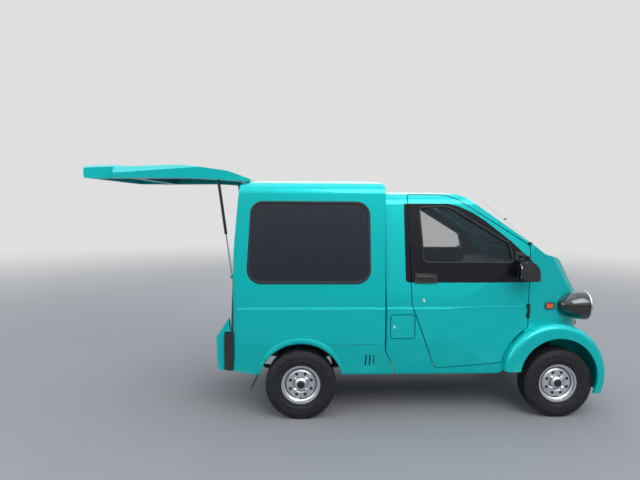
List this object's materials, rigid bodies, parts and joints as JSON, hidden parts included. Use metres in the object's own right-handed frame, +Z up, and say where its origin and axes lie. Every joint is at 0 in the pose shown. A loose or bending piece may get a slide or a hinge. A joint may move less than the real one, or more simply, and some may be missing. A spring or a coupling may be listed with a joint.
{
  "type": "kei car",
  "caption": "Small one-box delivery car with a narrow nose, wheel wings, round lamp pods, side doors, load box and a top-hinged tailgate standing open",
  "frame": {"origin": "ground level under the middle of the car's overall box, on its centre line", "axes": "+X forward, +Y to the car's left, +Z up"},
  "size_m": [3.7102, 1.484, 1.7879],
  "materials": {
    "paint": "metallic",
    "black_steel": "satin",
    "black_plastic": "matte",
    "gloss_black": "gloss",
    "clear_glass": "clear",
    "dark_glass": "tinted",
    "red_lens": "gloss",
    "amber_lens": "gloss",
    "tyre": "rubber",
    "rubber": "rubber",
    "rim_steel": "silver",
    "seat_fabric": "woven",
    "cast_metal": "cast",
    "steel": "plain",
    "chrome": "polished"
  },
  "bodies": {
    "car": {"cab_shell": "paint", "nose_panel": "paint", "cargo_shell": "paint", "floor_pan": "paint", "chassis_frame": "black_steel", "front_suspension": "black_steel", "front_fenders": "paint", "front_bumper": "black_plastic", "rear_bumper": "paint", "corner_strips": "gloss_black", "tail_lamps": "red_lens", "headlamp_pods": "gloss_black", "headlamp_lenses": "clear_glass", "turn_lamps": "amber_lens", "door_hinges": "black_steel", "windscreen": "clear_glass", "side_glass": "dark_glass", "mud_flaps": "rubber", "seats": "seat_fabric", "dashboard": "black_plastic", "steering_column": "black_plastic", "engine_block": "cast_metal", "propeller_shaft": "steel", "exhaust": "steel", "fuel_tank": "black_steel", "rear_axle": "black_steel", "leaf_springs": "steel"},
    "fuel_lid": {"fuel_lid": "paint"},
    "steering_wheel": {"steering_wheel": "black_plastic"},
    "knuckle_right": {"knuckle_right": "black_steel"},
    "knuckle_left": {"knuckle_left": "black_steel"},
    "wheel_front_right": {"tyre_front_right": "tyre", "rim_front_right": "rim_steel"},
    "wheel_front_left": {"tyre_front_left": "tyre", "rim_front_left": "rim_steel"},
    "wheel_rear_right": {"tyre_rear_right": "tyre", "rim_rear_right": "rim_steel"},
    "wheel_rear_left": {"tyre_rear_left": "tyre", "rim_rear_left": "rim_steel"},
    "door_right": {"door_right": "paint", "door_glass_right": "clear_glass", "door_trim_right": "gloss_black"},
    "door_left": {"door_left": "paint", "door_glass_left": "clear_glass", "door_trim_left": "gloss_black"},
    "tailgate": {"tailgate": "paint", "tailgate_glass": "dark_glass"},
    "strut_tube_right": {"strut_tube_right": "gloss_black"},
    "strut_tube_left": {"strut_tube_left": "gloss_black"},
    "strut_rod_right": {"strut_rod_right": "chrome"},
    "strut_rod_left": {"strut_rod_left": "chrome"}
  },
  "joints": [
    {"name": "fuel_lid_hinge", "type": "hinge", "parent": "car", "child": "fuel_lid", "pos_m": [0.437, -0.6155, 0.714], "axis": [0, 0, 1], "range_deg": [0, 90]},
    {"name": "steer_right", "type": "hinge", "parent": "car", "child": "knuckle_right", "pos_m": [1.485, -0.474, 0.17], "axis": [0, 0.1385, 0.9904], "range_deg": [-32, 32]},
    {"name": "steer_left", "type": "hinge", "parent": "car", "child": "knuckle_left", "pos_m": [1.485, 0.474, 0.17], "axis": [0, -0.1385, 0.9904], "range_deg": [-32, 32]},
    {"name": "wheel_front_right_spin", "type": "hinge", "parent": "knuckle_right", "child": "wheel_front_right", "pos_m": [1.485, -0.555, 0.248], "axis": [0, 1, 0], "continuous": true},
    {"name": "wheel_rear_right_spin", "type": "hinge", "parent": "car", "child": "wheel_rear_right", "pos_m": [-0.355, -0.555, 0.248], "axis": [0, 1, 0], "continuous": true},
    {"name": "wheel_front_left_spin", "type": "hinge", "parent": "knuckle_left", "child": "wheel_front_left", "pos_m": [1.485, 0.555, 0.248], "axis": [0, 1, 0], "continuous": true},
    {"name": "wheel_rear_left_spin", "type": "hinge", "parent": "car", "child": "wheel_rear_left", "pos_m": [-0.355, 0.555, 0.248], "axis": [0, 1, 0], "continuous": true},
    {"name": "steering_wheel_turn", "type": "hinge", "parent": "car", "child": "steering_wheel", "pos_m": [0.965, -0.27, 0.985], "axis": [-0.5378, 0, 0.8431], "range_deg": [-460, 460]},
    {"name": "door_right_hinge", "type": "hinge", "parent": "car", "child": "door_right", "pos_m": [1.266, -0.588, 0.768], "axis": [0, 0, 1], "range_deg": [0, 65]},
    {"name": "door_left_hinge", "type": "hinge", "parent": "car", "child": "door_left", "pos_m": [1.266, 0.588, 0.768], "axis": [0, 0, -1], "range_deg": [0, 65]},
    {"name": "tailgate_hinge", "type": "hinge", "parent": "car", "child": "tailgate", "pos_m": [-0.736, 0, 1.622], "axis": [0, -1, 0], "range_deg": [0, 87.5]},
    {"name": "strut_tube_right_pivot", "type": "hinge", "parent": "tailgate", "child": "strut_tube_right", "pos_m": [-0.93335, -0.528, 1.69446], "axis": [0, -1, 0], "range_deg": [-98.96, 2]},
    {"name": "strut_rod_right_slide", "type": "slide", "parent": "strut_tube_right", "child": "strut_rod_right", "axis": [0.1297, 0, -0.9915], "range_m": [-0.2736, 0]},
    {"name": "strut_tube_left_pivot", "type": "hinge", "parent": "tailgate", "child": "strut_tube_left", "pos_m": [-0.93335, 0.528, 1.69446], "axis": [0, -1, 0], "range_deg": [-98.96, 2]},
    {"name": "strut_rod_left_slide", "type": "slide", "parent": "strut_tube_left", "child": "strut_rod_left", "axis": [0.1297, 0, -0.9915], "range_m": [-0.2736, 0]}
  ],
  "couplings": [
    {"joint": "steer_left", "follows": "steer_right", "ratio": 1},
    {"joint": "steering_wheel_turn", "follows": "steer_right", "ratio": 14},
    {"joint": "strut_tube_right_pivot", "follows": "tailgate_hinge", "ratio": -1.1253},
    {"joint": "strut_rod_right_slide", "follows": "tailgate_hinge", "m_per_rad": -0.17781},
    {"joint": "strut_tube_left_pivot", "follows": "tailgate_hinge", "ratio": -1.1253},
    {"joint": "strut_rod_left_slide", "follows": "tailgate_hinge", "m_per_rad": -0.17781}
  ]
}
